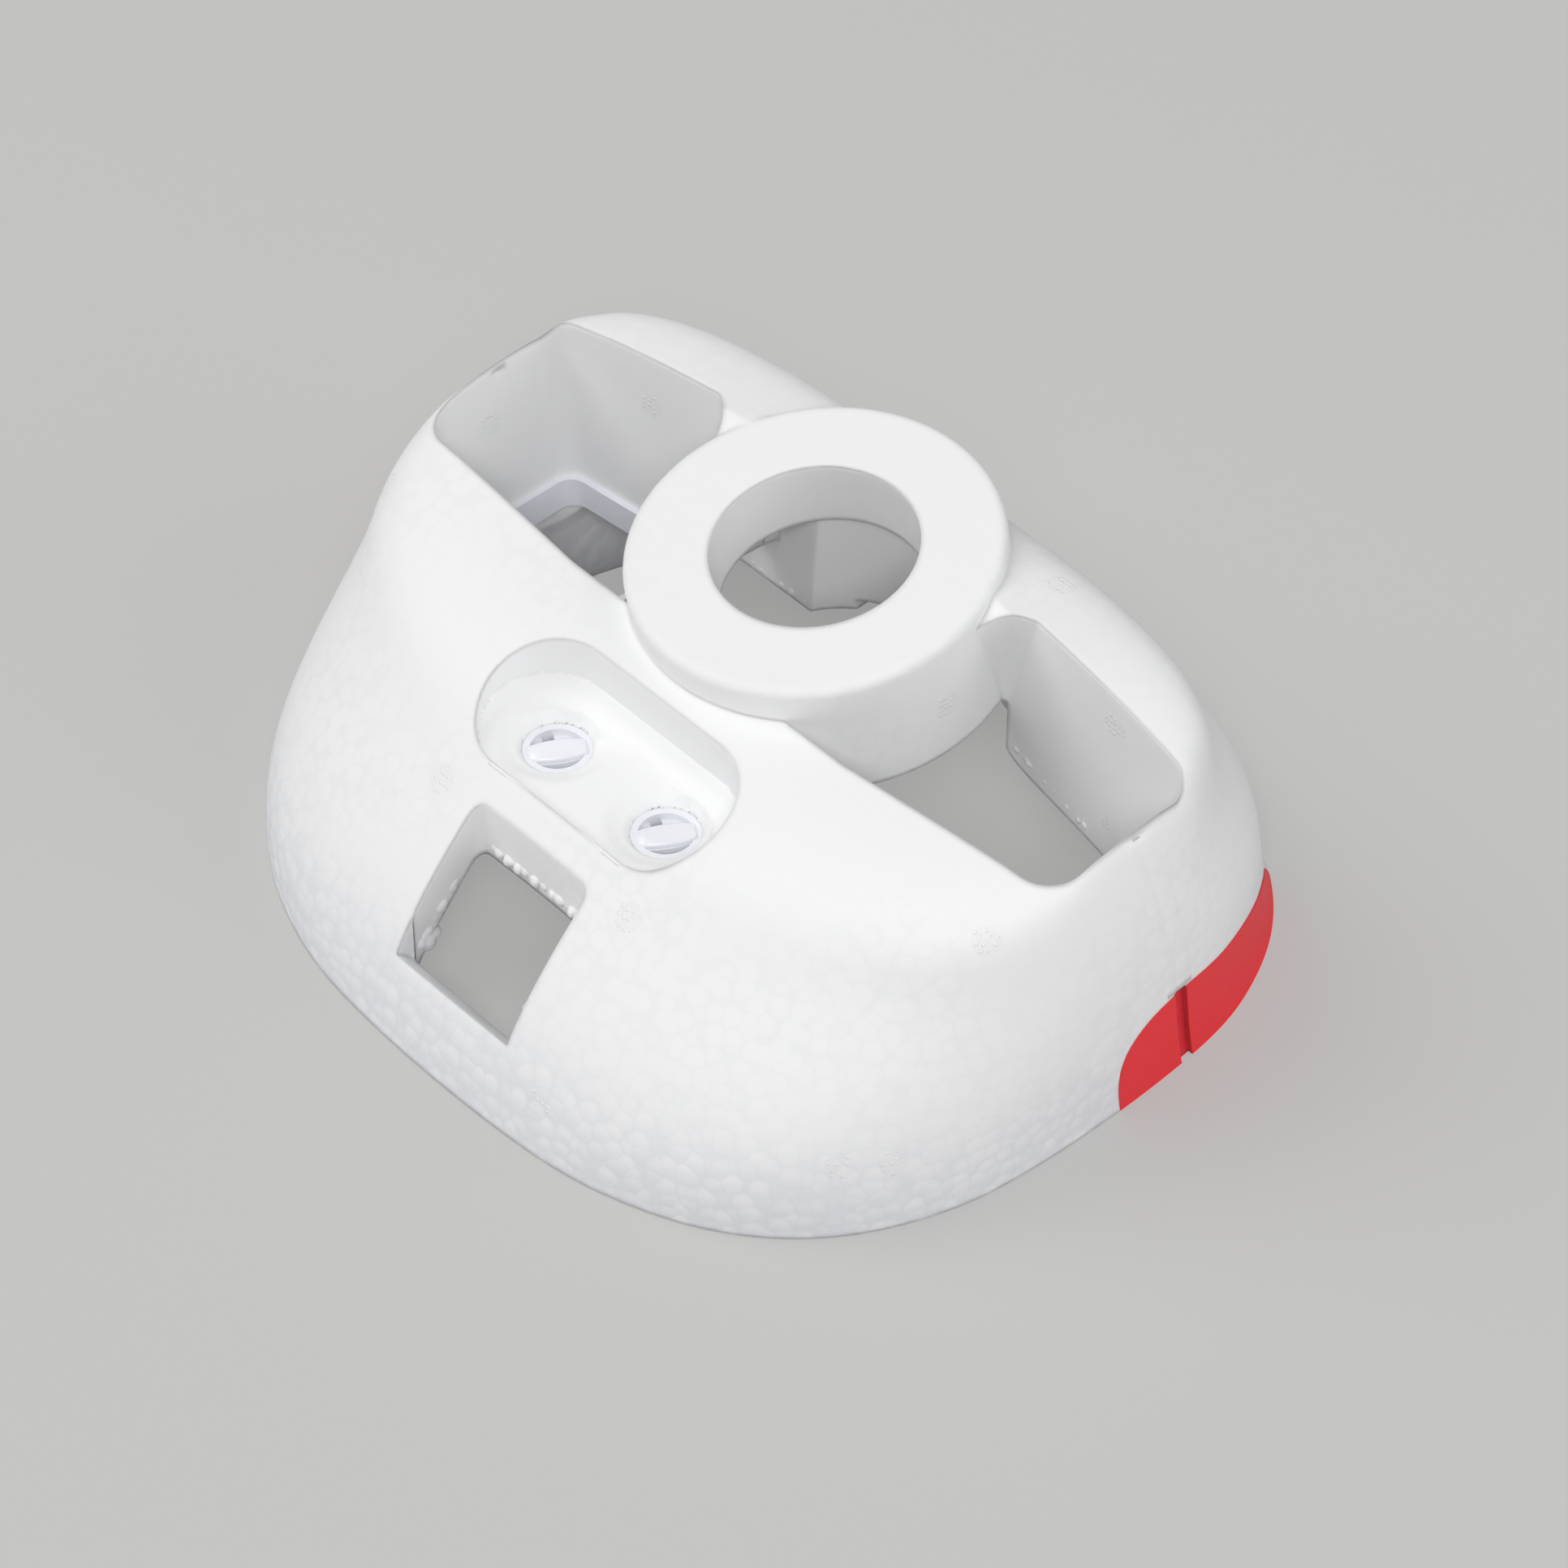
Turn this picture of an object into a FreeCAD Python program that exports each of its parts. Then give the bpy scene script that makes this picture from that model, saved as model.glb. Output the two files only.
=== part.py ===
import FreeCAD, Part
import Sketcher
import math
import os
from FreeCAD import Placement, Rotation, Vector

# Foam cowling of a large high-wing model aeroplane, standing on its rear rim with the nose up.
# Millimetres. +Z points out of the nose, -Y is the chin, +Y the crown, and X runs across the two cheek inlets.
# The origin is at table level, under the middle of the rim.

SIZES = {
    # outer form
    "cowl_width": 182.0,
    "cowl_depth": 162.7,
    "chin_height": 61.0,
    "crown_height": 73.5,
    # foam; heights ending in _lift are shares of the chin height, places are shares of half the depth
    "rim_wall": 8.0,
    "roof_lift": 0.590,
    # spinner collar and the hole for the motor shaft
    "collar_place": 0.164,
    "collar_lift": 1.174,
    "collar_radius": 35.2,
    "collar_height": 27.0,
    "collar_disc": 14.5,
    "collar_edge_round": 1.6,
    "collar_skirt_wall": 6.2,
    "flare_lift": 0.770,
    "flare_height": 32.0,
    "flare_foot_round": 2.6,
    "flare_top_round": 13.0,
    "spinner_bore": 19.45,
    "motor_bore": 20.6,
    "down_thrust": 9.1,
    "right_thrust": 1.3,
    # cheek inlets
    "inlet_side_wall": 6.6,
    "inlet_crown_place": 0.355,
    "inlet_chin_place": 0.167,
    "inlet_squeeze": 4.4,
    "inlet_knee": 36.0,
    "inlet_crown_round": 5.0,
    "inlet_chin_round": 8.0,
    "inlet_draft": 7.0,
    # gap in the crown wall behind the collar, for the motor wires
    "wire_gap_start": 20.0,
    "wire_gap_width": 15.0,
    "wire_gap_place": 0.455,
    "wire_gap_lift": 0.779,
    # square chin intake
    "intake_width": 30.6,
    "intake_top_place": 0.673,
    "intake_sill_place": 0.892,
    "intake_sill_slope": 3.3,
    "intake_round": 2.4,
    # landing light recess
    "recess_length": 58.2,
    "recess_width": 25.4,
    "recess_place": 0.460,
    "recess_lift": 0.7475,
    "recess_round": 2.5,
    "dish_radius": 11.2,
    "dish_depth": 3.3,
    # lamp holders
    "lamp_spacing": 29.4,
    "lamp_place": 0.448,
    "lamp_ring": 7.1,
    "lamp_ring_lip": 1.2,
    "lamp_ring_depth": 1.8,
    "lamp_tube": 6.2,
    "lamp_tube_wall": 1.0,
    "lamp_tube_length": 9.0,
    "lamp_floor_depth": 4.6,
    "lamp_bar_width": 4.4,
    "lamp_bar_taper": 0.68,
    "lamp_bar_drop": 0.6,
    "lamp_bar_turn": 59.0,
    "lamp_slot": 2.2,
    "lamp_fit": 0.1,
    # plastic liner in the left inlet, and the foam ledges behind it and beside it
    "liner_lift": 0.5016,
    "liner_height": 6.2,
    "liner_wall": 1.3,
    "liner_inner_end": 46.0,
    "liner_ledge_drop": 2.5,
    "crown_ledge_end": -12.0,
    "crown_ledge_drop": 2.6,
    # panel line and stripe
    "groove_width": 3.2,
    "groove_depth": 1.0,
    "stripe_film": 0.3,
    "stripe_lift": 0.4,
}

# Stations of the outer form, from the rim to the mouth: name, chin reach, chin height, crown reach, crown height,
# half width and middle, each a share of the depth, heights or width, then fullness of the chin and crown curves.
OUTER_STATIONS = [
    ("rim", 1.000, 0.000, 1.000, 0.000, 0.997, 0.028, 2.67, 2.86),
    ("skirt", 0.942, 0.246, 0.989, 0.204, 0.999, 0.028, 2.80, 2.57),
    ("waist", 0.819, 0.492, 0.902, 0.409, 1.000, 0.028, 2.54, 2.63),
    ("cheek", 0.648, 0.730, 0.775, 0.619, 0.988, 0.028, 2.32, 2.57),
    ("brow", 0.503, 0.874, 0.662, 0.803, 0.963, 0.015, 2.42, 3.10),
    ("lip", 0.185, 0.987, 0.530, 0.948, 0.916, 0.085, 2.10, 3.70),
    ("mouth", 0.061, 0.960, 0.338, 1.000, 0.830, 0.070, 2.60, 2.60),
]

# Stations of the hollow inside: name, foam thickness at the chin, the crown and the sides, and height
# as a share of the roof height over the chin.
INNER_STATIONS = [
    ("hollow_rim", 1.00, 1.00, 1.00, -0.03),
    ("hollow_skirt", 1.40, 1.25, 1.20, 0.32),
    ("hollow_waist", 2.60, 1.90, 1.55, 0.65),
    ("hollow_shoulder", 3.30, 3.10, 3.00, 0.82),
    ("hollow_roof", 5.20, 5.00, 6.20, 1.00),
]

HOLLOW_FULLNESS = 2.65
HOLLOW_MIDDLE = 0.028
SECTION_POINTS = 32

# Panel line on each side wall, as reach towards the crown and height.
PANEL_LINE = [(10.6, 62.0), (12.0, 55.0), (14.5, 42.7), (17.1, 31.8), (18.9, 21.7), (22.8, -2.0)]

# Front edge of the side stripe, as reach towards the crown and height, from rim to rim.
STRIPE_EDGE = [(4.7, -1.0), (3.7, 7.5), (4.8, 13.8), (7.6, 17.4), (11.5, 19.6), (16.0, 20.6), (21.0, 20.9),
               (26.0, 20.4), (33.0, 19.3), (41.0, 17.8), (48.0, 15.6), (55.0, 12.6), (61.0, 8.2), (66.0, 2.5),
               (68.0, -1.0)]

doc = FreeCAD.newDocument("model_cowling")
sheet = doc.addObject("Spreadsheet::Sheet", "sizes")
for row, (alias, value) in enumerate(SIZES.items(), start=1):
    sheet.set(f"A{row}", alias)
    sheet.set(f"B{row}", str(value))
    sheet.setAlias(f"B{row}", alias)
doc.recompute()


def size(alias):
    return float(sheet.get(alias))


def place(alias):
    """Distance from the middle towards the crown or chin, from a share of half the depth."""
    return size(alias) * size("cowl_depth") / 2


def lift(alias):
    """Height, from a share of the chin height."""
    return size(alias) * size("chin_height")


def place_of(alias):
    return f"sizes.{alias} * sizes.cowl_depth / 2"


def lift_of(alias):
    return f"sizes.{alias} * sizes.chin_height"


def bind(thing, **expressions):
    """Tie properties of an object to sheet expressions; a double underscore stands for a dot."""
    for prop, expression in expressions.items():
        thing.setExpression(prop.replace("__", "."), expression)
    return thing


def primitive(kind, name, **expressions):
    return bind(doc.addObject(kind, name), **expressions)


def boolean(kind, name, first, second):
    thing = doc.addObject(kind, name)
    thing.Base = first
    thing.Tool = second
    return thing


def union(name, pieces):
    thing = doc.addObject("Part::MultiFuse", name)
    thing.Shapes = pieces
    return thing


def shape_feature(name, shape):
    thing = doc.addObject("Part::Feature", name)
    thing.Shape = shape
    return thing


# Outer form and hollow: smooth lofts through superellipse sections


def section_wire(chin, crown, half_width, middle_y, chin_fullness, crown_fullness):
    """Closed smooth curve through chin and crown, two (y, z) points, as wide as half_width on each side."""
    chin_y, chin_z = chin
    crown_y, crown_z = crown
    along = (middle_y - chin_y) / (crown_y - chin_y)
    middle = Vector(0, middle_y, chin_z + along * (crown_z - chin_z))
    to_chin = Vector(0, chin_y, chin_z) - middle
    to_crown = Vector(0, crown_y, crown_z) - middle
    points = []
    for step in range(SECTION_POINTS):
        angle = 2 * math.pi * step / SECTION_POINTS
        towards_crown = math.cos(angle) > 0
        power = 2.0 / (crown_fullness if towards_crown else chin_fullness)
        across = math.copysign(abs(math.sin(angle)) ** power, math.sin(angle))
        arm = (to_crown if towards_crown else to_chin) * abs(math.cos(angle)) ** power
        points.append(middle + arm + Vector(half_width * across, 0, 0))
    curve = Part.BSplineCurve()
    curve.interpolate(Points=points, PeriodicFlag=True, Parameters=[float(k) for k in range(SECTION_POINTS + 1)])
    quarter = SECTION_POINTS // 4
    return Part.Wire([curve.toShape(k * quarter, (k + 1) * quarter) for k in range(4)])


def outer_wires(skin):
    """Sections of the outer form, grown outwards by skin."""
    depth = size("cowl_depth") / 2
    half_width = size("cowl_width") / 2
    chin_top, crown_top = size("chin_height"), size("crown_height")
    wires = []
    for name, chin, chin_z, crown, crown_z, width, middle, chin_full, crown_full in OUTER_STATIONS:
        wires.append(section_wire(
            (-chin * depth - skin, chin_z * chin_top), (crown * depth + skin, crown_z * crown_top),
            width * half_width + skin, middle * depth, chin_full, crown_full,
        ))
    return wires


def hollow_wires():
    """Sections of the hollow, each set in from the rim by its own foam thickness."""
    wall = size("rim_wall")
    depth = size("cowl_depth") / 2
    half_width = size("cowl_width") / 2
    wires = []
    for name, chin, crown, side, height in INNER_STATIONS:
        level = height * lift("roof_lift")
        wires.append(section_wire(
            (-depth + chin * wall, level), (depth - crown * wall, level), half_width - side * wall,
            HOLLOW_MIDDLE * depth, HOLLOW_FULLNESS, HOLLOW_FULLNESS,
        ))
    return wires


def loft(name, wires):
    return shape_feature(name, Part.makeLoft(wires, True, False))


outer_form = loft("outer_form", outer_wires(0.0))
hollow = loft("hollow", hollow_wires())


# Cheek inlets: one tapered slot across the nose, under the collar


def rounded_polygon(corners, level):
    """Closed wire at a height, with each corner (x, y, radius) rounded by a tangent arc."""
    count = len(corners)
    ends = []
    for index, (x, y, radius) in enumerate(corners):
        corner = Vector(x, y, level)
        before = Vector(*corners[index - 1][:2], level) - corner
        after = Vector(*corners[(index + 1) % count][:2], level) - corner
        before.normalize()
        after.normalize()
        half_angle = before.getAngle(after) / 2
        setback = radius / math.tan(half_angle)
        bisector = before + after
        bisector.normalize()
        centre = corner + bisector * (radius / math.sin(half_angle))
        middle = centre - bisector * radius
        ends.append((corner + before * setback, middle, corner + after * setback))
    edges = []
    for index, (start, middle, finish) in enumerate(ends):
        edges.append(Part.Arc(start, middle, finish).toShape())
        edges.append(Part.LineSegment(finish, ends[(index + 1) % count][0]).toShape())
    return Part.Wire(edges)


def inlet_corners(level, inset):
    """Corners of the inlet slot at a height, set in from its walls."""
    draft = math.tan(math.radians(size("inlet_draft")))
    side = size("cowl_width") / 2 - size("inlet_side_wall") - inset
    side -= draft * (size("chin_height") - level)
    knee = size("inlet_knee")
    crown = place("inlet_crown_place") - inset
    chin = -place("inlet_chin_place") + inset
    squeeze = size("inlet_squeeze")
    crown_round = max(size("inlet_crown_round") - inset, 0.5)
    chin_round = max(size("inlet_chin_round") - inset, 0.5)
    bend = 20.0
    return [
        (side, chin + squeeze, chin_round), (side, crown - squeeze, crown_round), (knee, crown, bend),
        (-knee, crown, bend), (-side, crown - squeeze, crown_round), (-side, chin + squeeze, chin_round),
        (-knee, chin, bend), (knee, chin, bend),
    ]


def inlet_prism(bottom, top, inset):
    wires = [rounded_polygon(inlet_corners(level, inset), level) for level in (bottom, top)]
    return Part.makeLoft(wires, True, True)


slot_bottom = lift("liner_lift") - size("liner_height") - 4.0
slot_top = size("crown_height") + 10.0
inlet_slot = shape_feature("inlet_slot", inlet_prism(slot_bottom, slot_top, 0.0))

# The crown wall reaches lower beside the liner, and a little lower from there to the motor space
liner_ledge = primitive(
    "Part::Box", "liner_ledge",
    Length="sizes.cowl_width / 2 - sizes.rim_wall - sizes.liner_inner_end", Width="sizes.rim_wall * 1.5",
    Height="20", Placement__Base__x="-sizes.cowl_width / 2 + sizes.rim_wall",
    Placement__Base__y=f"{place_of('inlet_crown_place')} - sizes.inlet_squeeze",
    Placement__Base__z=f"{lift_of('liner_lift')} - sizes.liner_ledge_drop",
)
crown_ledge = primitive(
    "Part::Box", "crown_ledge",
    Length="sizes.liner_inner_end + sizes.crown_ledge_end + 1", Width="sizes.rim_wall * 1.5", Height="20",
    Placement__Base__x="-sizes.liner_inner_end - 1",
    Placement__Base__y=f"{place_of('inlet_crown_place')} - 1",
    Placement__Base__z=f"{lift_of('roof_lift')} - sizes.crown_ledge_drop",
)
ledges = union("ledges", [liner_ledge, crown_ledge])
hollow_cut = boolean("Part::Cut", "hollow_cut", hollow, ledges)

wire_gap = primitive(
    "Part::Box", "wire_gap",
    Length="sizes.wire_gap_width", Width=place_of("wire_gap_place"), Height=lift_of("wire_gap_lift"),
    Placement__Base__x="sizes.wire_gap_start",
)

# Square chin intake, with a sloping sill at its lower edge


def intake_shape():
    half = size("intake_width") / 2
    top, sill = -place("intake_top_place"), -place("intake_sill_place")
    slope = size("intake_sill_slope")
    rounding = size("intake_round")
    reach = size("chin_height") + 5
    corners = [(half, sill, rounding), (half, top, rounding), (-half, top, rounding), (-half, sill, rounding)]
    shaft = Part.Face(rounded_polygon(corners, -1.0)).extrude(Vector(0, 0, reach))
    sill_height = size("chin_height") * 0.22
    wedge = [Vector(-half, sill + 1, sill_height - 1), Vector(-half, sill + 1, reach),
             Vector(-half, sill - slope, reach), Vector(-half, sill - slope, sill_height + slope)]
    profile = Part.Face(Part.makePolygon(wedge + wedge[:1]))
    return shaft.fuse(profile.extrude(Vector(2 * half, 0, 0))).removeSplitter()


intake = shape_feature("intake", intake_shape())

# Landing light recess: an oblong pocket with a round foot, and a dish round each lamp


def recess_shape():
    radius = size("recess_width") / 2
    run = size("recess_length") / 2 - radius
    y = -place("recess_place")
    floor = lift("recess_lift")
    corners = [Vector(-run, y - radius, floor), Vector(run, y - radius, floor),
               Vector(run + radius, y, floor), Vector(run, y + radius, floor),
               Vector(-run, y + radius, floor), Vector(-run - radius, y, floor)]
    outline = Part.Wire([
        Part.LineSegment(corners[0], corners[1]).toShape(), Part.Arc(*corners[1:4]).toShape(),
        Part.LineSegment(corners[3], corners[4]).toShape(), Part.Arc(corners[4], corners[5], corners[0]).toShape(),
    ])
    pocket = Part.Face(outline).extrude(Vector(0, 0, size("chin_height")))
    foot = [edge for edge in pocket.Edges if abs(edge.BoundBox.ZMax - floor) < 1e-6]
    return pocket.makeFillet(size("recess_round"), foot)


recess = shape_feature("recess", recess_shape())
dish_sphere = "(sizes.dish_radius ^ 2 + sizes.dish_depth ^ 2) / (2 * sizes.dish_depth)"
recess_cuts = [recess]
for side, sign in (("left", "-"), ("right", "")):
    recess_cuts.append(primitive(
        "Part::Sphere", f"dish_{side}", Radius=dish_sphere,
        Angle2=f"-asin(1 - sizes.dish_depth * 1.1 / ({dish_sphere}))",
        Placement__Base__x=f"{sign}sizes.lamp_spacing / 2", Placement__Base__y="-" + place_of("lamp_place"),
        Placement__Base__z=f"{lift_of('recess_lift')} - sizes.dish_depth + {dish_sphere}",
    ))
    recess_cuts.append(primitive(
        "Part::Cylinder", f"lamp_seat_{side}", Radius="sizes.lamp_ring + sizes.lamp_fit", Height="sizes.lamp_ring_depth + 8",
        Placement__Base__x=f"{sign}sizes.lamp_spacing / 2", Placement__Base__y="-" + place_of("lamp_place"),
        Placement__Base__z=f"{lift_of('recess_lift')} - sizes.dish_depth + 0.6 - sizes.lamp_ring_depth",
    ))
    recess_cuts.append(primitive(
        "Part::Cylinder", f"lamp_hole_{side}", Radius="sizes.lamp_tube", Height=lift_of("recess_lift"),
        Placement__Base__x=f"{sign}sizes.lamp_spacing / 2", Placement__Base__y="-" + place_of("lamp_place"),
        Placement__Base__z=f"{lift_of('recess_lift')} / 2 - 3",
    ))

# Panel line: a shallow groove down each side wall


def panel_strip():
    """Strip of the side view that holds the panel line, right across the cowl."""
    half = size("groove_width") / 2
    line = Part.BSplineCurve()
    line.interpolate(Points=[Vector(0, y, z) for y, z in PANEL_LINE])
    front, back = (
        [p + Vector(0, shift, 0) for p in line.discretize(12)] for shift in (-half, half)
    )
    outline = front + back[::-1]
    reach = size("cowl_width")
    face = Part.Face(Part.makePolygon(outline + outline[:1]))
    face.translate(Vector(-reach / 2 - 5, 0, 0))
    return face.extrude(Vector(reach + 10, 0, 0))


groove_skin = loft("groove_skin", outer_wires(-size("groove_depth")))
panel_line = shape_feature("panel_line", panel_strip().cut(groove_skin.Shape))

# Spinner collar, turned about the thrust line


collar_turn = Rotation(Vector(0, 1, 0), -size("right_thrust")).multiply(Rotation(Vector(1, 0, 0), size("down_thrust")))
collar_place = Placement(Vector(0, place("collar_place"), lift("collar_lift")), collar_turn)


def collar_body():
    """Disc and skirt as one revolved section, with the face at the origin of its own axis."""
    body = doc.addObject("PartDesign::Body", "collar")
    plane = [f for f in body.Origin.OriginFeatures if f.Role == "XZ_Plane"][0]
    sketch = body.newObject("Sketcher::SketchObject", "collar_section")
    sketch.AttachmentSupport = (plane, [""])
    sketch.MapMode = "FlatFace"
    outer, bore = size("collar_radius"), size("spinner_bore")
    inner = outer - size("collar_skirt_wall")
    disc, height = size("collar_disc"), size("collar_height")
    corners = [(bore, 0), (outer, 0), (outer, -height), (inner, -height), (inner, -disc), (bore, -disc)]
    for index, corner in enumerate(corners):
        after = corners[(index + 1) % len(corners)]
        sketch.addGeometry(Part.LineSegment(Vector(*corner, 0), Vector(*after, 0)), False)
    for index in range(len(corners)):
        sketch.addConstraint(Sketcher.Constraint("Coincident", index, 2, (index + 1) % len(corners), 1))
    for index in (0, 2, 4):
        sketch.addConstraint(Sketcher.Constraint("Horizontal", index))
    for index in (1, 3, 5):
        sketch.addConstraint(Sketcher.Constraint("Vertical", index))
    sketch.addConstraint(Sketcher.Constraint("PointOnObject", 0, 1, -1))
    driven = [
        ("bore", Sketcher.Constraint("DistanceX", -1, 1, 0, 1, bore), "sizes.spinner_bore"),
        ("radius", Sketcher.Constraint("DistanceX", -1, 1, 0, 2, outer), "sizes.collar_radius"),
        ("tall", Sketcher.Constraint("DistanceY", 1, 2, 1, 1, height), "sizes.collar_height"),
        ("skirt", Sketcher.Constraint("DistanceX", 2, 2, 2, 1, outer - inner), "sizes.collar_skirt_wall"),
        ("disc", Sketcher.Constraint("DistanceY", 5, 1, 5, 2, disc), "sizes.collar_disc"),
    ]
    for name, constraint, expression in driven:
        index = sketch.addConstraint(constraint)
        sketch.renameConstraint(index, name)
        sketch.setExpression(f"Constraints.{name}", expression)
    doc.recompute()
    turn = body.newObject("PartDesign::Revolution", "collar_turn")
    turn.Profile = sketch
    turn.ReferenceAxis = (sketch, ["V_Axis"])
    turn.Angle = 360
    doc.recompute()
    rim = [f"Edge{n}" for n, edge in enumerate(turn.Shape.Edges, start=1)
           if abs(edge.BoundBox.ZMin) < 1e-6 and edge.BoundBox.XLength > 2 * outer - 0.1]
    rounding = body.newObject("PartDesign::Fillet", "collar_edge")
    rounding.Base = (turn, rim)
    bind(rounding, Radius="sizes.collar_edge_round")
    body.Placement = collar_place
    return body


collar = collar_body()

shaft_hole = primitive("Part::Cylinder", "shaft_hole", Radius="sizes.spinner_bore", Height="sizes.collar_disc * 3")
shaft_hole.Placement = collar_place.multiply(Placement(Vector(0, 0, -size("collar_disc") - 1.0), Rotation()))
motor_space = primitive("Part::Cylinder", "motor_space", Radius="sizes.motor_bore", Height=lift_of("collar_lift"))
motor_space.Placement = collar_place.multiply(
    Placement(Vector(0, 0, -size("collar_disc") - lift("collar_lift")), Rotation()))
doc.recompute()

# Foam shell: the outer form, opened up, with the collar bridging the slot
openings = union("nose_openings", [inlet_slot, hollow_cut, wire_gap, intake, panel_line] + recess_cuts)
opened = boolean("Part::Cut", "opened_form", outer_form, openings)


def flare_wire(rounding, level):
    """Fillet of one radius between the collar and the crown wall of the right inlet."""
    wall = place("inlet_crown_place")
    collar_y, radius = place("collar_place"), size("collar_radius")
    rise = wall - rounding - collar_y
    reach = math.sqrt((radius + rounding) ** 2 - rise ** 2)
    share = radius / (radius + rounding)
    touch = Vector(reach * share, collar_y + rise * share, level)
    foot = Vector(reach, wall, level)
    centre = Vector(reach, wall - rounding, level)
    middle = centre + (touch - centre + foot - centre).normalize() * rounding
    inner = radius - size("collar_skirt_wall") + 1
    corners = [touch, Vector(inner - 4, touch.y, level), Vector(inner - 4, wall + 1, level),
               Vector(reach, wall + 1, level), foot]
    edges = [Part.LineSegment(start, end).toShape() for start, end in zip(corners, corners[1:])]
    return Part.Wire(edges + [Part.Arc(foot, middle, touch).toShape()])


flare_ends = [
    flare_wire(size("flare_foot_round"), lift("flare_lift")),
    flare_wire(size("flare_top_round"), lift("flare_lift") + size("flare_height")),
]
flare_right = shape_feature("flare_right", Part.makeLoft(flare_ends, True, True).common(outer_form.Shape))
flare_left = doc.addObject("Part::Mirroring", "flare_left")
flare_left.Source = flare_right
flare_left.Normal = Vector(1, 0, 0)
bridged = union("bridged_form", [opened, collar, flare_right, flare_left])
bores = union("bores", [shaft_hole, motor_space])
cowl_shell = boolean("Part::Cut", "cowl_shell", bridged, bores)

# Plastic liner at the foot of the left inlet


def liner_shape():
    top = lift("liner_lift")
    bottom = top - size("liner_height")
    wall = size("liner_wall")
    inner_end = size("liner_inner_end")
    reach = size("cowl_width") / 2
    outside = inlet_prism(bottom, top, 0.0)
    inside = inlet_prism(bottom - 1, top + 1, wall)
    keep = Part.makeBox(reach - inner_end, 2 * reach, size("liner_height"), Vector(-reach, -reach, bottom))
    hole = Part.makeBox(reach - inner_end - wall, 2 * reach, size("liner_height") + 2,
                        Vector(-reach, -reach, bottom - 1))
    return outside.common(keep).cut(inside.common(hole))


inlet_liner = shape_feature("inlet_liner", liner_shape())

# Lamp holders: a ring on a tube, with a barrel-shaped bar across it and a slotted block behind the bar


def lamp_shape():
    """One holder about its own axis, with the top of its ring at height 0."""
    ring, lip = size("lamp_ring"), size("lamp_ring_lip")
    tube, wall = size("lamp_tube") - size("lamp_fit") / 2, size("lamp_tube_wall")
    bore = ring - lip
    floor = size("lamp_floor_depth")
    seat = size("lamp_ring_depth")
    flange = Part.makeCylinder(ring, seat, Vector(0, 0, -seat))
    flange = flange.makeFillet(seat * 0.4, [e for e in flange.Edges if e.BoundBox.ZMin > -1e-6])
    body = flange.fuse(Part.makeCylinder(tube, size("lamp_tube_length"), Vector(0, 0, -size("lamp_tube_length"))))
    cup_depth = floor
    body = body.cut(Part.makeCylinder(tube - wall, cup_depth, Vector(0, 0, -cup_depth)))
    body = body.cut(Part.makeCylinder(tube - wall * 2, size("lamp_tube_length"),
                                      Vector(0, 0, -size("lamp_tube_length") - floor - 1.2)))
    half_bar = size("lamp_bar_width") / 2
    drop = size("lamp_bar_drop")
    half_length = tube - wall - 0.1
    end_bar = half_bar * size("lamp_bar_taper")
    ends = [Vector(x, y, -floor - 0.4) for x, y in
            ((-half_length, -end_bar), (half_length, -end_bar), (half_length, end_bar), (-half_length, end_bar))]
    outline = [Part.Arc(ends[0], Vector(0, -half_bar, -floor - 0.4), ends[1]), Part.LineSegment(ends[1], ends[2]),
               Part.Arc(ends[2], Vector(0, half_bar, -floor - 0.4), ends[3]), Part.LineSegment(ends[3], ends[0])]
    profile = Part.Face(Part.Wire([edge.toShape() for edge in outline]))
    across = profile.extrude(Vector(0, 0, floor - drop + 0.4))
    across.translate(Vector(0, -half_bar * 0.5, 0))
    block = Part.makeCylinder(tube - wall, floor - 1.4, Vector(0, 0, -floor))
    block = block.common(Part.makeBox(4 * tube, 2 * tube, 2 * floor, Vector(-2 * tube, half_bar * 0.55, -2 * floor)))
    slot = size("lamp_slot")
    block = block.cut(Part.makeBox(slot, 2 * tube, 2 * floor, Vector(-slot / 2 - 1.0, 0, -2 * floor)))
    bounds = Part.makeCylinder(tube - wall / 2, floor + 1, Vector(0, 0, -floor - 1))
    return body.fuse(across.common(bounds)).fuse(block).removeSplitter()


lamp_top = lift("recess_lift") - size("dish_depth") + 0.6
lamps = []
for side, sign in (("left", -1), ("right", 1)):
    lamp = shape_feature(f"lamp_holder_{side}", lamp_shape())
    lamp.Placement = Placement(Vector(sign * size("lamp_spacing") / 2, -place("lamp_place"), lamp_top),
                               Rotation(Vector(0, 0, 1), size("lamp_bar_turn")))
    lamps.append(lamp)

# Side stripes: thin film on the foam, one each side


def stripe_shape():
    edge = Part.BSplineCurve()
    edge.interpolate(Points=[Vector(0, y, z) for y, z in STRIPE_EDGE])
    first, last = edge.StartPoint, edge.EndPoint
    outline = Part.Wire([edge.toShape(), Part.LineSegment(last, first).toShape()])
    reach = size("cowl_width") / 2
    field = Part.Face(outline).extrude(Vector(reach + 5, 0, 0))
    skin = Part.makeLoft(outer_wires(size("stripe_film")), True, False).cut(outer_form.Shape)
    film = field.common(skin).cut(Part.makeBox(3 * reach, 3 * reach, 10, Vector(-reach, -reach, size("stripe_lift") - 10)))
    return film.cut(panel_strip())


stripe_right = shape_feature("stripe_right", stripe_shape())
stripe_left = doc.addObject("Part::Mirroring", "stripe_left")
stripe_left.Source = stripe_right
stripe_left.Normal = Vector(1, 0, 0)
doc.recompute()

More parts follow.
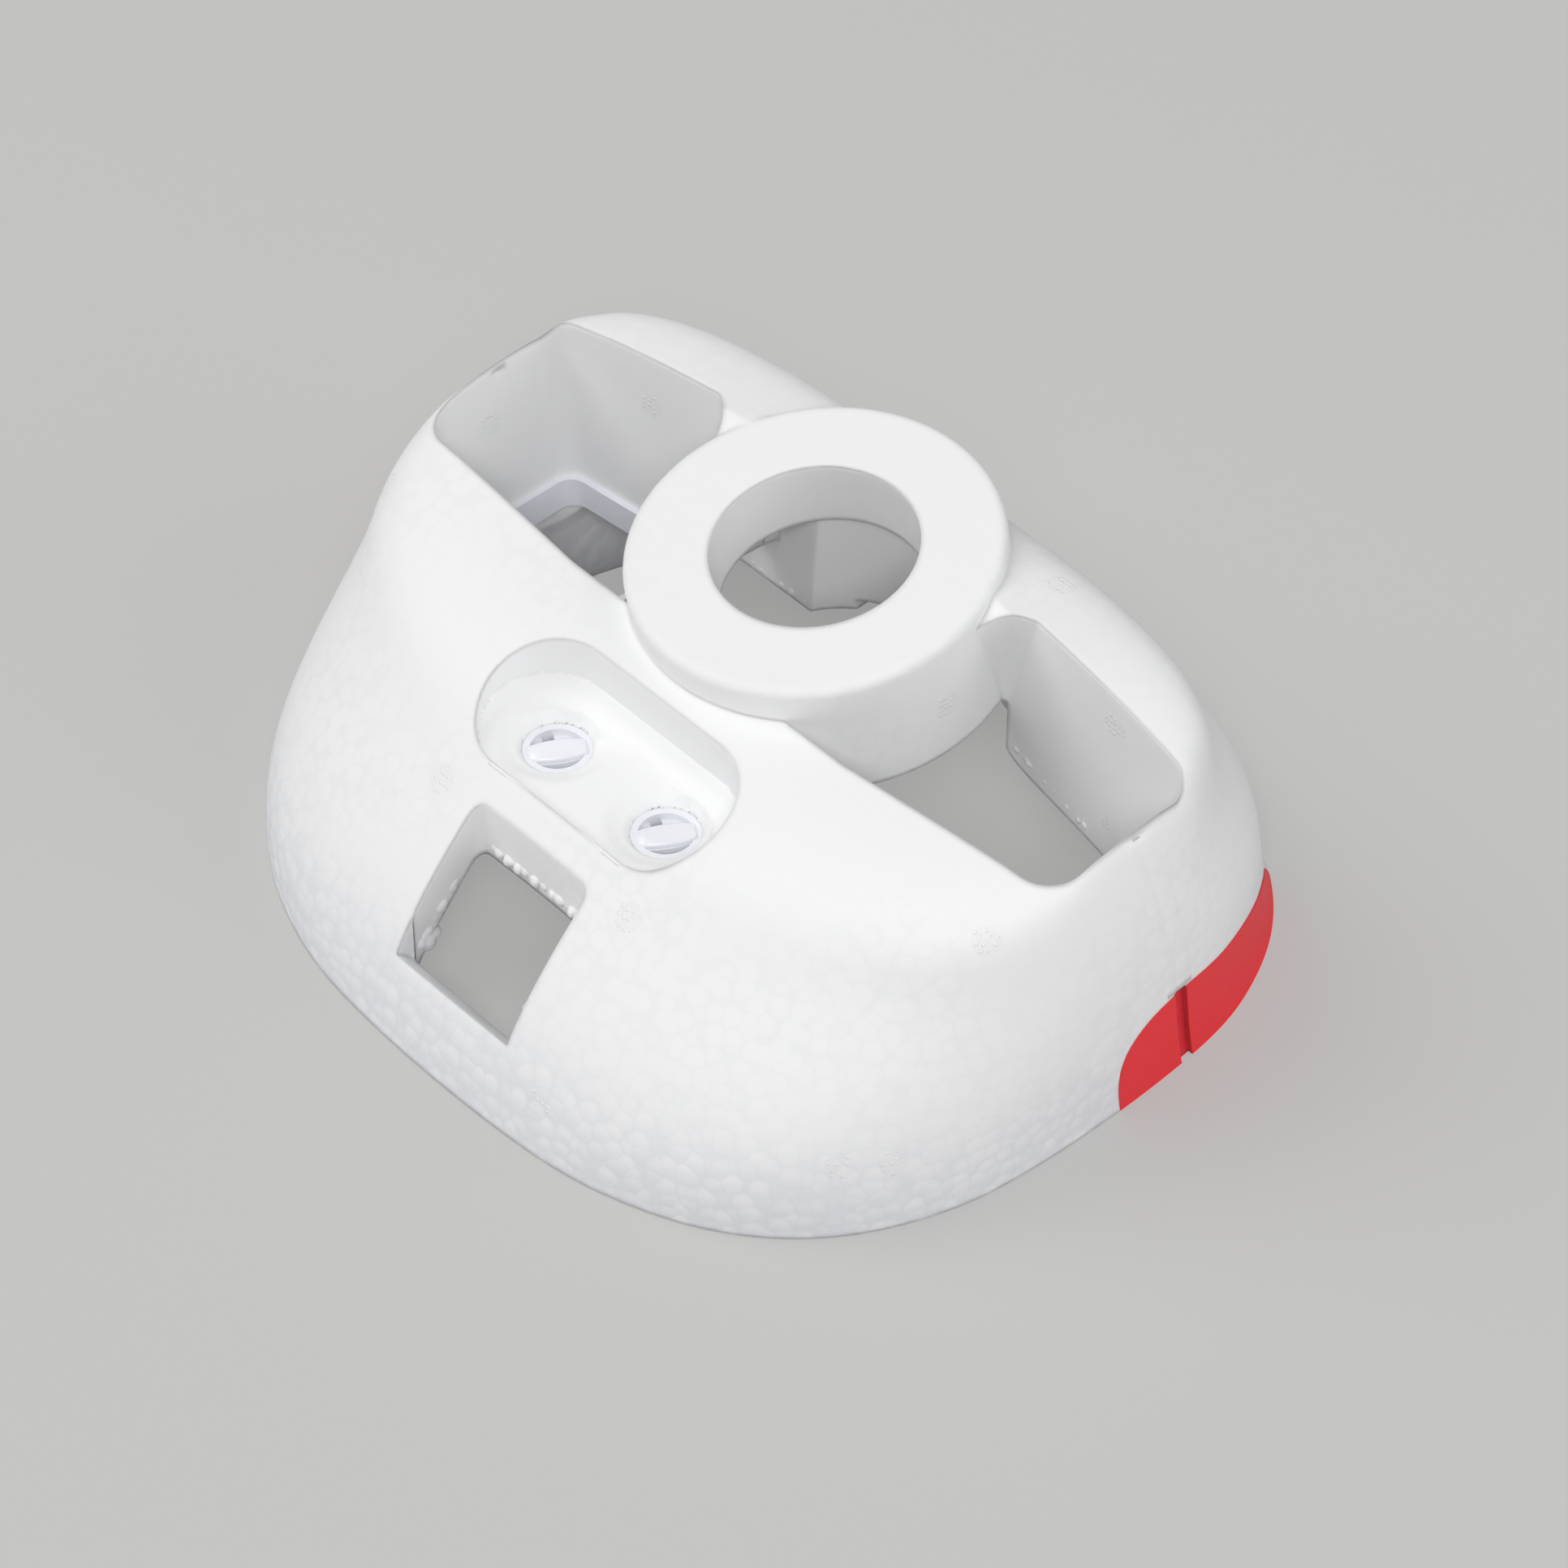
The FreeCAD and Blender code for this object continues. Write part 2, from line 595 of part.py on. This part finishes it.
nodes = [cowl_shell, inlet_liner, *lamps, stripe_right, stripe_left]
for thing in doc.Objects:
    if "Invalid" in thing.State or "Error" in thing.State:
        raise RuntimeError(f"{thing.Name} failed: {thing.State}")
for node in nodes:
    if node.Shape.isNull() or not node.Shape.isValid():
        raise RuntimeError(f"{node.Name} has no valid shape")
os.makedirs("parts", exist_ok=True)
for node in nodes:
    node.Label = node.Name
    node.Shape.exportStep(f"parts/{node.Name}.step")
    box = node.Shape.BoundBox
    print(node.Name, "solids", len(node.Shape.Solids), "volume", round(node.Shape.Volume / 1000, 2), "cm3",
          [round(v, 1) for v in (box.XMin, box.XMax, box.YMin, box.YMax, box.ZMin, box.ZMax)])
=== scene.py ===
import math
import random

import bmesh
import bpy
from mathutils import Matrix, Vector
from mathutils.bvhtree import BVHTree


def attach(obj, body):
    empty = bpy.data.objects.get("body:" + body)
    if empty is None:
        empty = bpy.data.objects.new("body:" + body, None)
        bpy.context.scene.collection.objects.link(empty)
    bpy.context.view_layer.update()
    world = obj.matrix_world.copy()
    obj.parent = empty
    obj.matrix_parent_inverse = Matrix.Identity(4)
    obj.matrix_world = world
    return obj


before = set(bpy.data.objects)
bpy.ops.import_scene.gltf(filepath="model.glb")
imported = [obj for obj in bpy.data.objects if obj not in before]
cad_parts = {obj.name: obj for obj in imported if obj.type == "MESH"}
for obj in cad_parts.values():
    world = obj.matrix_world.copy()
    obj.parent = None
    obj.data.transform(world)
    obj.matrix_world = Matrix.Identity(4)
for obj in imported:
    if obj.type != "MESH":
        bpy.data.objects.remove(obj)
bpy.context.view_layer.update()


MM = 0.001

# Foam: bead size, how irregular the beads are, and the colours of the moulding
BEAD = 3.5 * MM
BEAD_MIX = 0.7
FOAM_WHITE = (0.915, 0.917, 0.920, 1.0)
BEAD_GAP = (0.60, 0.62, 0.67, 1.0)
LOW_TINT = (0.80, 0.81, 0.85, 1.0)
VENT_GREY = (0.72, 0.73, 0.75, 1.0)
VENT_PIP = (0.95, 0.95, 0.95, 1.0)
EDGE_RADIUS = 1.8

# Other materials
FILM_RED = (0.90, 0.046, 0.056, 1.0)
# Groove red: the film's red lining the groove, made darker as painted shade in the groove
GROOVE_RED_PAINTED_SHADE = (0.74, 0.030, 0.045, 1.0)
LAMP_WHITE = (0.86, 0.872, 0.915, 1.0)
LINER_WHITE = (0.90, 0.915, 0.98, 1.0)
TABLE_GREY = (0.60, 0.598, 0.592, 1.0)
TABLE_SEEN = (0.547, 0.545, 0.540, 1.0)
TABLE_SEEN_SHARE = 0.55

# Small clusters of steam vent marks, as x, y, z in millimetres
VENT_RADIUS = 2.5
VENT_MARKS = [
    (-83.1, 6.6, 50.7), (-59.2, 28.0, 59.1), (64.3, 27.4, 63.5), (64.9, 27.2, 38.6), (35.4, 13.2, 57.1),
    (-24.7, -55.4, 40.7), (24.8, -54.3, 41.8), (79.7, -20.4, 53.7), (82.3, -44.4, 16.6), (77.0, -52.0, 17.2),
    (26.0, -77.4, 11.1), (37.1, 39.4, 70.6), (-35.4, 13.2, 57.1), (-79.7, -20.4, 53.7), (-82.3, -44.4, 16.6),
]

# Panel line, as its height z and its reach y, in millimetres
PANEL_LINE = [(-2.0, 22.8), (21.7, 18.9), (31.8, 17.1), (42.7, 14.5), (55.0, 12.0), (62.0, 10.6)]
PANEL_SCALE = 40.0
GROOVE_HALF = 1.6
STRIPE_TOP = 20.8

# Skin over the groove, as places across the groove and how far each stands out of the wall
FILL_EDGE = 3.2
FILL_FEATHER = 3.9
FILL_PROFILE = [
    (-FILL_FEATHER, -0.08), (-FILL_EDGE, 0.04), (-1.6, 0.05), (-0.9, -0.1), (-0.2, -0.04), (0.7, 0.03),
    (FILL_EDGE, 0.04), (FILL_FEATHER, -0.08),
]
FILL_FOOT = 21.3
FILL_TOP = 62.4
FILL_STATIONS = 22
SKIN_THICKNESS = 0.6

# Edges where the moulded beads broke away, as start, end, number of beads and their radius, in millimetres
TORN_EDGES = [
    ((-12.0, -54.1, 32.0), (12.5, -54.1, 32.0), 15, 1.5),
    ((-16.2, -56.0, 30.6), (-16.2, -71.0, 13.4), 11, 1.5),
    ((-16.6, -66.6, 15.4), (-16.2, -68.6, 13.6), 4, 1.9),
    ((29.8, 1.0, 45.5), (33.6, 12.0, 46.4), 9, 1.4),
    ((33.8, 13.5, 46.5), (33.5, 24.5, 47.8), 8, 1.4),
    ((-36.0, 30.0, 34.9), (-18.0, 30.0, 34.9), 12, 1.3),
    ((37.0, 29.8, 37.3), (60.0, 27.7, 32.5), 18, 1.3),
]

# Lamp holders: place of each ring's middle, the part of the ring that foam covers, and the turn of its bar
LAMP_PLACES = [(-14.7, -36.45, 42.9), (14.7, -36.45, 42.9)]
RING_INNER = 6.3
RING_OUTER = 7.3
LAMP_TURN = 59.0

# Light recess, in millimetres
RECESS_LENGTH = 58.2
RECESS_RADIUS = 12.7
RECESS_Y = -37.42
RECESS_FLOOR = 45.6
RECESS_STEP = 0.5
RECESS_RAISED = 0.2
RECESS_MOST_ROUND = 5.0
RECESS_WALL_SHARE = 0.5

# Studio lamps: name, place and width in metres, power in watts
STUDIO_LAMPS = [
    ("left", (-1.5, -1.1, 2.2), 2.2, 39.5),
    ("right", (2.2, 1.2, 1.6), 2.2, 22.5),
    ("front", (1.6, -1.5, 2.2), 0.9, 34.0),
]
WORLD_STRENGTH = 0.25

# Camera: direction in degrees, the point it looks at and its distance in metres, lens in millimetres
CAMERA_AZIMUTH = 47.2
CAMERA_ELEVATION = 44.95
CAMERA_LOOK = (-0.0117, 0.01675, 0.0)
CAMERA_DISTANCE = 1.090
CAMERA_LENS = 131.2


class Nodes:
    """Short way to build a material's node tree."""

    def __init__(self, name):
        self.material = bpy.data.materials.new(name)
        self.material.use_nodes = True
        self.tree = self.material.node_tree
        self.tree.nodes.clear()
        self.shader = self.tree.nodes.new("ShaderNodeBsdfPrincipled")
        self.output = self.tree.nodes.new("ShaderNodeOutputMaterial")
        self.tree.links.new(self.shader.outputs["BSDF"], self.output.inputs["Surface"])

    def put(self, value, socket):
        if isinstance(value, bpy.types.NodeSocket):
            self.tree.links.new(value, socket)
        else:
            socket.default_value = value

    def finish(self, roughness, specular=None):
        self.shader.inputs["Roughness"].default_value = roughness
        if specular is not None:
            self.shader.inputs["Specular IOR Level"].default_value = specular

    def math(self, operation, a, b=0.0):
        node = self.tree.nodes.new("ShaderNodeMath")
        node.operation = operation
        self.put(a, node.inputs[0])
        self.put(b, node.inputs[1])
        return node.outputs[0]

    def times(self, *factors):
        product = factors[0]
        for factor in factors[1:]:
            product = self.math("MULTIPLY", product, factor)
        return product

    def ramp(self, value, low, high, out_low=0.0, out_high=1.0):
        node = self.tree.nodes.new("ShaderNodeMapRange")
        node.interpolation_type = "SMOOTHSTEP"
        self.put(value, node.inputs["Value"])
        for name, number in (("From Min", low), ("From Max", high), ("To Min", out_low), ("To Max", out_high)):
            node.inputs[name].default_value = number
        return node.outputs["Result"]

    def mix(self, share, first, second):
        node = self.tree.nodes.new("ShaderNodeMix")
        node.data_type = "RGBA"
        self.put(share, node.inputs[0])
        self.put(first, node.inputs[6])
        self.put(second, node.inputs[7])
        return node.outputs[2]

    def position(self):
        return self.tree.nodes.new("ShaderNodeTexCoord").outputs["Object"]

    def split(self, vector):
        node = self.tree.nodes.new("ShaderNodeSeparateXYZ")
        self.put(vector, node.inputs[0])
        return node.outputs

    def noise(self, vector, scale):
        node = self.tree.nodes.new("ShaderNodeTexNoise")
        self.put(vector, node.inputs["Vector"])
        node.inputs["Scale"].default_value = scale
        return node.outputs["Fac"]

    def voronoi(self, vector, scale, feature, randomness):
        node = self.tree.nodes.new("ShaderNodeTexVoronoi")
        node.feature = feature
        self.put(vector, node.inputs["Vector"])
        node.inputs["Scale"].default_value = scale
        node.inputs["Randomness"].default_value = randomness
        return node.outputs

    def distance(self, vector, point):
        node = self.tree.nodes.new("ShaderNodeVectorMath")
        node.operation = "DISTANCE"
        self.put(vector, node.inputs[0])
        node.inputs[1].default_value = point
        return node.outputs["Value"]

    def outward(self, vector):
        """1 on walls that face away from the middle, 0 on walls of the hollow and the inlets."""
        flat = self.tree.nodes.new("ShaderNodeVectorMath")
        flat.operation = "MULTIPLY"
        self.put(vector, flat.inputs[0])
        flat.inputs[1].default_value = (1.0, 1.0, 0.0)
        along = self.tree.nodes.new("ShaderNodeVectorMath")
        along.operation = "DOT_PRODUCT"
        self.put(flat.outputs["Vector"], along.inputs[0])
        self.put(self.tree.nodes.new("ShaderNodeNewGeometry").outputs["Normal"], along.inputs[1])
        return self.ramp(along.outputs["Value"], -0.002, 0.004)

    def bump(self, height, strength, distance, normal=None):
        node = self.tree.nodes.new("ShaderNodeBump")
        self.put(strength, node.inputs["Strength"])
        node.inputs["Distance"].default_value = distance
        self.put(height, node.inputs["Height"])
        if normal is not None:
            self.put(normal, node.inputs["Normal"])
        return node.outputs["Normal"]

    def soft_edges(self, radius):
        node = self.tree.nodes.new("ShaderNodeBevel")
        node.samples = 4
        self.put(radius, node.inputs["Radius"])
        return node.outputs["Normal"]

    def plain_when_seen(self, colour, share):
        """Mix a plain colour into what the camera, mirrors and glass show of a stage piece."""
        path = self.tree.nodes.new("ShaderNodeLightPath")
        seen = self.math("MAXIMUM", path.outputs["Is Camera Ray"], path.outputs["Is Glossy Ray"])
        seen = self.math("MAXIMUM", seen, path.outputs["Is Transmission Ray"])
        glow = self.tree.nodes.new("ShaderNodeEmission")
        glow.inputs["Color"].default_value = colour
        both = self.tree.nodes.new("ShaderNodeMixShader")
        self.put(self.times(seen, share), both.inputs["Fac"])
        self.put(self.shader.outputs["BSDF"], both.inputs[1])
        self.put(glow.outputs["Emission"], both.inputs[2])
        self.put(both.outputs["Shader"], self.output.inputs["Surface"])

    def curve(self, value, points):
        """Smooth curve through (input, output) points, both scaled to 0..1 by the caller."""
        node = self.tree.nodes.new("ShaderNodeFloatCurve")
        self.put(value, node.inputs["Value"])
        line = node.mapping.curves[0]
        line.points[0].location = points[0]
        line.points[1].location = points[-1]
        for point in points[1:-1]:
            line.points.new(*point)
        node.mapping.update()
        return node.outputs["Value"]


def red_groove(n, at):
    """1 in the panel line below the top of the film, where the film lines the groove."""
    x, y, z = n.split(at)
    foot = PANEL_LINE[0][0]
    tall = PANEL_LINE[-1][0] - foot
    share = n.math("DIVIDE", n.math("SUBTRACT", z, foot * MM), tall * MM)
    points = [((height - foot) / tall, reach / PANEL_SCALE) for height, reach in PANEL_LINE]
    line_y = n.times(n.curve(share, points), PANEL_SCALE * MM)
    off_line = n.math("ABSOLUTE", n.math("SUBTRACT", y, line_y))
    in_line = n.ramp(off_line, (GROOVE_HALF + 0.1) * MM, (GROOVE_HALF + 0.3) * MM, 1.0, 0.0)
    on_side = n.ramp(n.math("ABSOLUTE", x), 0.084, 0.086)
    in_stripe = n.ramp(z, (STRIPE_TOP - 0.3) * MM, STRIPE_TOP * MM, 1.0, 0.0)
    return n.times(in_line, on_side, in_stripe)


def foam_material(name, edge_radius):
    n = Nodes(name)
    at = n.position()
    edge = n.voronoi(at, 1 / BEAD, "DISTANCE_TO_EDGE", BEAD_MIX)["Distance"]
    bead = n.voronoi(at, 1 / BEAD, "F1", BEAD_MIX)

    # Bead outlines, strongest near the rim and in patches above it
    low = n.ramp(n.split(at)[2], 0.002, 0.030, 1.0, 0.0)
    patchy = n.ramp(n.noise(at, 24.0), 0.35, 0.70, 0.03, 0.30)
    show = n.times(n.math("MAXIMUM", low, patchy), n.outward(at))
    between = n.times(n.ramp(bead["Distance"], 0.38, 0.74), 0.8)
    line = n.math("ADD", between, n.ramp(edge, 0.0, 0.09, 0.35, 0.0))
    colour = n.mix(n.times(line, show, 0.34), FOAM_WHITE, BEAD_GAP)
    tone = n.split(bead["Color"])[0]
    colour = n.mix(n.times(n.ramp(tone, 0.0, 1.0, 0.35, 0.75), low), colour, LOW_TINT)

    # Vent marks
    marks = None
    for point in VENT_MARKS:
        off_mark = n.distance(at, [c * MM for c in point])
        near = n.ramp(off_mark, VENT_RADIUS * MM, (VENT_RADIUS + 0.5) * MM, 1.0, 0.0)
        marks = near if marks is None else n.math("MAXIMUM", marks, near)
    pips = n.voronoi(at, 1 / (1.25 * MM), "F1", 0.35)
    pip = n.times(n.ramp(pips["Distance"], 0.22, 0.34, 1.0, 0.0), marks)
    colour = n.mix(n.times(marks, 0.12), colour, VENT_GREY)
    colour = n.mix(n.times(pip, 0.9), colour, VENT_PIP)

    # Film red in the groove, darker than the film as painted shade in the groove
    colour = n.mix(red_groove(n, at), colour, GROOVE_RED_PAINTED_SHADE)
    n.put(colour, n.shader.inputs["Base Color"])
    n.finish(0.55, 0.3)
    dome = n.ramp(bead["Distance"], 0.0, 0.75, 1.0, 0.0)
    normal = n.soft_edges(edge_radius * MM) if edge_radius else None
    normal = n.bump(dome, n.math("ADD", n.times(low, 0.16), 0.03), 1.2 * MM, normal)
    normal = n.bump(pip, 0.5, 0.3 * MM, normal)
    n.put(normal, n.shader.inputs["Normal"])
    return n.material


def film_material():
    n = Nodes("red_film")
    cells = n.voronoi(n.position(), 1 / BEAD, "DISTANCE_TO_EDGE", 0.85)
    dome = n.ramp(cells["Distance"], 0.0, 0.2, 0.0, 1.0)
    n.shader.inputs["Base Color"].default_value = FILM_RED
    n.finish(0.5, 0.12)
    n.put(n.bump(dome, 0.08, 0.5 * MM), n.shader.inputs["Normal"])
    return n.material


def plastic_material(name, colour, roughness):
    n = Nodes(name)
    n.shader.inputs["Base Color"].default_value = colour
    n.finish(roughness)
    n.put(n.bump(n.noise(n.position(), 300.0), 0.04, 0.4 * MM), n.shader.inputs["Normal"])
    return n.material


def smooth(mesh):
    for face in mesh.polygons:
        face.use_smooth = True


def split_edges(piece, angle):
    split = piece.modifiers.new("edges", "EDGE_SPLIT")
    split.split_angle = math.radians(angle)


def dress(node, material):
    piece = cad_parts[node]
    piece.data.materials.clear()
    piece.data.materials.append(material)
    smooth(piece.data)
    split_edges(piece, 32.0)


foam = foam_material("foam", EDGE_RADIUS)
foam_skin = foam_material("foam_skin", 0.0)
film = film_material()
lamp_plastic = plastic_material("lamp_plastic", LAMP_WHITE, 0.22)
liner_plastic = plastic_material("liner_plastic", LINER_WHITE, 0.3)

dress("cowl_shell", foam)
dress("stripe_right", film)
dress("stripe_left", film)
dress("lamp_holder_left", lamp_plastic)
dress("lamp_holder_right", lamp_plastic)
dress("inlet_liner", liner_plastic)


# Small pieces on the moulding


def new_piece(name, material):
    mesh = bpy.data.meshes.new(name)
    mesh.materials.append(material)
    piece = bpy.data.objects.new(name, mesh)
    bpy.context.scene.collection.objects.link(piece)
    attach(piece, "root")
    return piece


def torn_beads():
    """Rows of half-buried beads that make the cut and torn edges uneven."""
    chance = random.Random(7)
    form = bmesh.new()
    for start, end, count, radius in TORN_EDGES:
        for step in range(count):
            share = (step + chance.uniform(0.1, 0.9)) / count
            middle = Vector(start).lerp(Vector(end), share)
            middle += Vector([chance.uniform(-0.25, 0.25) for _ in range(3)])
            size = radius * chance.uniform(0.75, 1.05)
            shape = Matrix.Diagonal([chance.uniform(0.8, 1.2) for _ in range(3)]).to_4x4()
            place = Matrix.Translation(middle * MM) @ shape
            bmesh.ops.create_icosphere(form, subdivisions=3, radius=size * MM, matrix=place)
    piece = new_piece("torn_beads", foam)
    form.to_mesh(piece.data)
    form.free()
    smooth(piece.data)


def bar_section(half_width, top, bottom, corner):
    """Rounded rectangle across the bar, as y and z in millimetres."""
    section = []
    for y, z, turn in ((1, top, 0), (-1, top, 90), (-1, bottom, 180), (1, bottom, 270)):
        centre_z = z - corner if z == top else z + corner
        for part in (0, 45, 90):
            angle = math.radians(turn + part)
            centre_y = y * (half_width - corner)
            section.append((centre_y + corner * math.cos(angle), centre_z + corner * math.sin(angle)))
    return section


def lamp_bar(name, place):
    """Barrel-shaped bar across the mouth of a lamp holder."""
    half_length, off_middle, taper, end_narrowing = 5.2, 0.5, 0.28, 0.86
    section = bar_section(2.6, 0.6, -2.9, 0.5)
    rings = [-1.0, -0.97, -0.6, -0.3, 0.0, 0.3, 0.6, 0.97, 1.0]
    points = []
    for along in rings:
        narrow = (1.0 - taper * along * along) * (end_narrowing if abs(along) == 1.0 else 1.0)
        points += [(along * half_length * MM, (y * narrow - off_middle) * MM, z * MM) for y, z in section]
    around = len(section)
    faces = [tuple(range(around)), tuple(reversed(range(len(points) - around, len(points))))]
    for ring in range(len(rings) - 1):
        for corner in range(around):
            a = ring * around + corner
            b = ring * around + (corner + 1) % around
            faces.append((a + around, b + around, b, a))
    piece = new_piece(name, lamp_plastic)
    piece.data.from_pydata(points, [], faces)
    form = bmesh.new()
    form.from_mesh(piece.data)
    bmesh.ops.recalc_face_normals(form, faces=form.faces)
    form.to_mesh(piece.data)
    form.free()
    turn = Matrix.Rotation(math.radians(LAMP_TURN), 4, "Z")
    piece.data.transform(Matrix.Translation(Vector(place) * MM) @ turn)
    smooth(piece.data)
    split_edges(piece, 50.0)


def closed_skin(name, points, faces):
    """Foam skin with a thickness, whose back lies in the shell."""
    piece = new_piece(name, foam_skin)
    piece.data.from_pydata([[c * MM for c in point] for point in points], [], faces)
    smooth(piece.data)
    back = piece.modifiers.new("back", "SOLIDIFY")
    back.thickness = SKIN_THICKNESS * MM
    back.offset = -1.0


def drop_height(surface, x, y):
    """Height of the shell under a point, in millimetres."""
    hit = surface.ray_cast(Vector((x, y, 90.0)) * MM, Vector((0.0, 0.0, -1.0)))[0]
    return hit.z / MM if hit is not None else 0.0


def blurred(heights, passes):
    """Heights on a grid, each mixed with its neighbours a few times."""
    for _ in range(passes):
        after = {}
        for (column, row), z in heights.items():
            near = ((column + 1, row), (column - 1, row), (column, row + 1), (column, row - 1))
            around = [heights[place] for place in near if place in heights]
            after[column, row] = (z + sum(around)) / (1 + len(around))
        heights = after
    return heights


def rounded_ground(surface, x, y, away, wall):
    """Height of the recess at a point, with a round foot that grows with the wall beside it."""
    z = drop_height(surface, x, y) if wall > 0.1 else RECESS_FLOOR
    outward = away.normalized() if away.length else Vector((0.0, 1.0))
    outside = Vector((x, y)) - away + outward * (RECESS_RADIUS + 0.8)
    rise = drop_height(surface, outside.x, outside.y) - RECESS_FLOOR
    foot = min(RECESS_MOST_ROUND, RECESS_WALL_SHARE * rise)
    reach = max(wall, 0.05)
    if reach < foot:
        z = max(z, RECESS_FLOOR + foot - math.sqrt(foot * foot - (foot - reach) ** 2))
    return z


def soft_recess(surface):
    """Skin of the light recess: a wide round foot, dishes without a ridge, foam up to the lamp rings."""
    run = RECESS_LENGTH / 2 - RECESS_RADIUS
    lamp_top = LAMP_PLACES[0][2]
    ground = {}
    fixed = {}
    for column in range(-60, 61):
        for row in range(-27, 28):
            x, y = column * RECESS_STEP, RECESS_Y + row * RECESS_STEP
            away = Vector((x, y)) - Vector((min(max(x, -run), run), RECESS_Y))
            wall = RECESS_RADIUS - away.length
            off_lamp = min(math.hypot(x - lamp[0], y - lamp[1]) for lamp in LAMP_PLACES)
            if wall < -0.35 or off_lamp < RING_INNER - 0.2:
                continue
            if off_lamp < RING_OUTER:
                fixed[column, row] = lamp_top - 0.1 + (off_lamp - RING_INNER) * 1.05
                ground[column, row] = lamp_top + 0.75
            else:
                ground[column, row] = rounded_ground(surface, x, y, away, wall)
    soft = blurred(ground, 5)
    order = {place: index for index, place in enumerate(ground)}
    points = []
    for place in order:
        z = fixed.get(place, max(soft[place] + RECESS_RAISED, ground[place] + 0.03))
        points.append((place[0] * RECESS_STEP, RECESS_Y + place[1] * RECESS_STEP, z))
    faces = []
    for column, row in order:
        ring = [(column, row), (column + 1, row), (column + 1, row + 1), (column, row + 1)]
        if all(corner in order for corner in ring):
            faces.append([order[corner] for corner in ring])
    closed_skin("recess_skin", points, faces)


def panel_reach(height):
    """Y of the panel line at a height, both in millimetres."""
    for (low, first), (high, second) in zip(PANEL_LINE, PANEL_LINE[1:]):
        if height <= high:
            return first + (second - first) * (height - low) / (high - low)
    return PANEL_LINE[-1][1]


def wall_reach(surface, side, y, z, before):
    """How far out the side wall stands at a place, which may not jump from the last station's."""
    hit = surface.ray_cast(Vector((side * 120.0, y, z)) * MM, Vector((-side, 0.0, 0.0)))[0]
    found = abs(hit.x) / MM if hit is not None else 0.0
    if before is not None and abs(found - before) > 3.0:
        return before - 1.2
    return found


def panel_fill(name, surface, side):
    """Foam that makes the groove above the stripe shallow, with one faint step left."""
    points = []
    walls = {}
    for station in range(FILL_STATIONS + 1):
        z = FILL_FOOT + (FILL_TOP - FILL_FOOT) * station / FILL_STATIONS
        y = panel_reach(z)
        for shift in (-FILL_FEATHER, -FILL_EDGE, FILL_EDGE, FILL_FEATHER):
            walls[shift] = wall_reach(surface, side, y + shift, z, walls.get(shift))
        for shift, proud in FILL_PROFILE:
            share = (shift + FILL_EDGE) / (2 * FILL_EDGE)
            across = walls[-FILL_EDGE] + (walls[FILL_EDGE] - walls[-FILL_EDGE]) * share + 0.06
            points.append((side * (walls.get(shift, across) + proud), y + shift, z))
    wide = len(FILL_PROFILE)
    faces = []
    for station in range(FILL_STATIONS):
        for place in range(wide - 1):
            a = station * wide + place
            ring = (a, a + 1, a + 1 + wide, a + wide)
            faces.append(ring if side > 0 else ring[::-1])
    closed_skin(name, points, faces)


shell = BVHTree.FromObject(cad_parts["cowl_shell"], bpy.context.evaluated_depsgraph_get())
soft_recess(shell)
panel_fill("panel_fill_right", shell, 1)
panel_fill("panel_fill_left", shell, -1)
torn_beads()
lamp_bar("lamp_bar_left", LAMP_PLACES[0])
lamp_bar("lamp_bar_right", LAMP_PLACES[1])


# Table, light and camera


def make_floor():
    half = 4.0
    corners = [(-half, -half, 0), (half, -half, 0), (half, half, 0), (-half, half, 0)]
    mesh = bpy.data.meshes.new("table")
    mesh.from_pydata(corners, [], [(0, 1, 2, 3)])
    floor = bpy.data.objects.new("table", mesh)
    floor.location.z = -0.2 * MM
    bpy.context.scene.collection.objects.link(floor)
    n = Nodes("table_top")
    n.shader.inputs["Base Color"].default_value = TABLE_GREY
    n.finish(0.8, 0.2)
    n.plain_when_seen(TABLE_SEEN, TABLE_SEEN_SHARE)
    mesh.materials.append(n.material)


def make_lamp(name, place, width, power):
    light = bpy.data.lights.new(name, "AREA")
    light.shape = "SQUARE"
    light.size = width
    light.energy = power
    lamp = bpy.data.objects.new(name, light)
    lamp.location = place
    lamp.rotation_euler = (-Vector(place)).to_track_quat("-Z", "Y").to_euler()
    bpy.context.scene.collection.objects.link(lamp)


def make_world():
    world = bpy.data.worlds.new("studio")
    world.use_nodes = True
    background = world.node_tree.nodes["Background"]
    background.inputs["Color"].default_value = (1.0, 1.0, 1.0, 1.0)
    background.inputs["Strength"].default_value = WORLD_STRENGTH
    bpy.context.scene.world = world


def make_camera():
    azimuth, elevation = math.radians(CAMERA_AZIMUTH), math.radians(CAMERA_ELEVATION)
    level = math.cos(elevation)
    back = Vector((math.sin(azimuth) * level, -math.cos(azimuth) * level, math.sin(elevation)))
    right = Vector((math.cos(azimuth), math.sin(azimuth), 0.0))
    axes = Matrix((right, back.cross(right), back)).transposed().to_4x4()
    camera = bpy.data.objects.new("camera", bpy.data.cameras.new("camera"))
    camera.data.sensor_width = 36.0
    camera.data.lens = CAMERA_LENS
    camera.matrix_world = Matrix.Translation(Vector(CAMERA_LOOK) + back * CAMERA_DISTANCE) @ axes
    bpy.context.scene.collection.objects.link(camera)
    bpy.context.scene.camera = camera


make_floor()
for lamp_name, lamp_place, lamp_width, lamp_power in STUDIO_LAMPS:
    make_lamp(lamp_name, lamp_place, lamp_width, lamp_power)
make_world()
make_camera()
bpy.context.scene.view_settings.view_transform = "Standard"
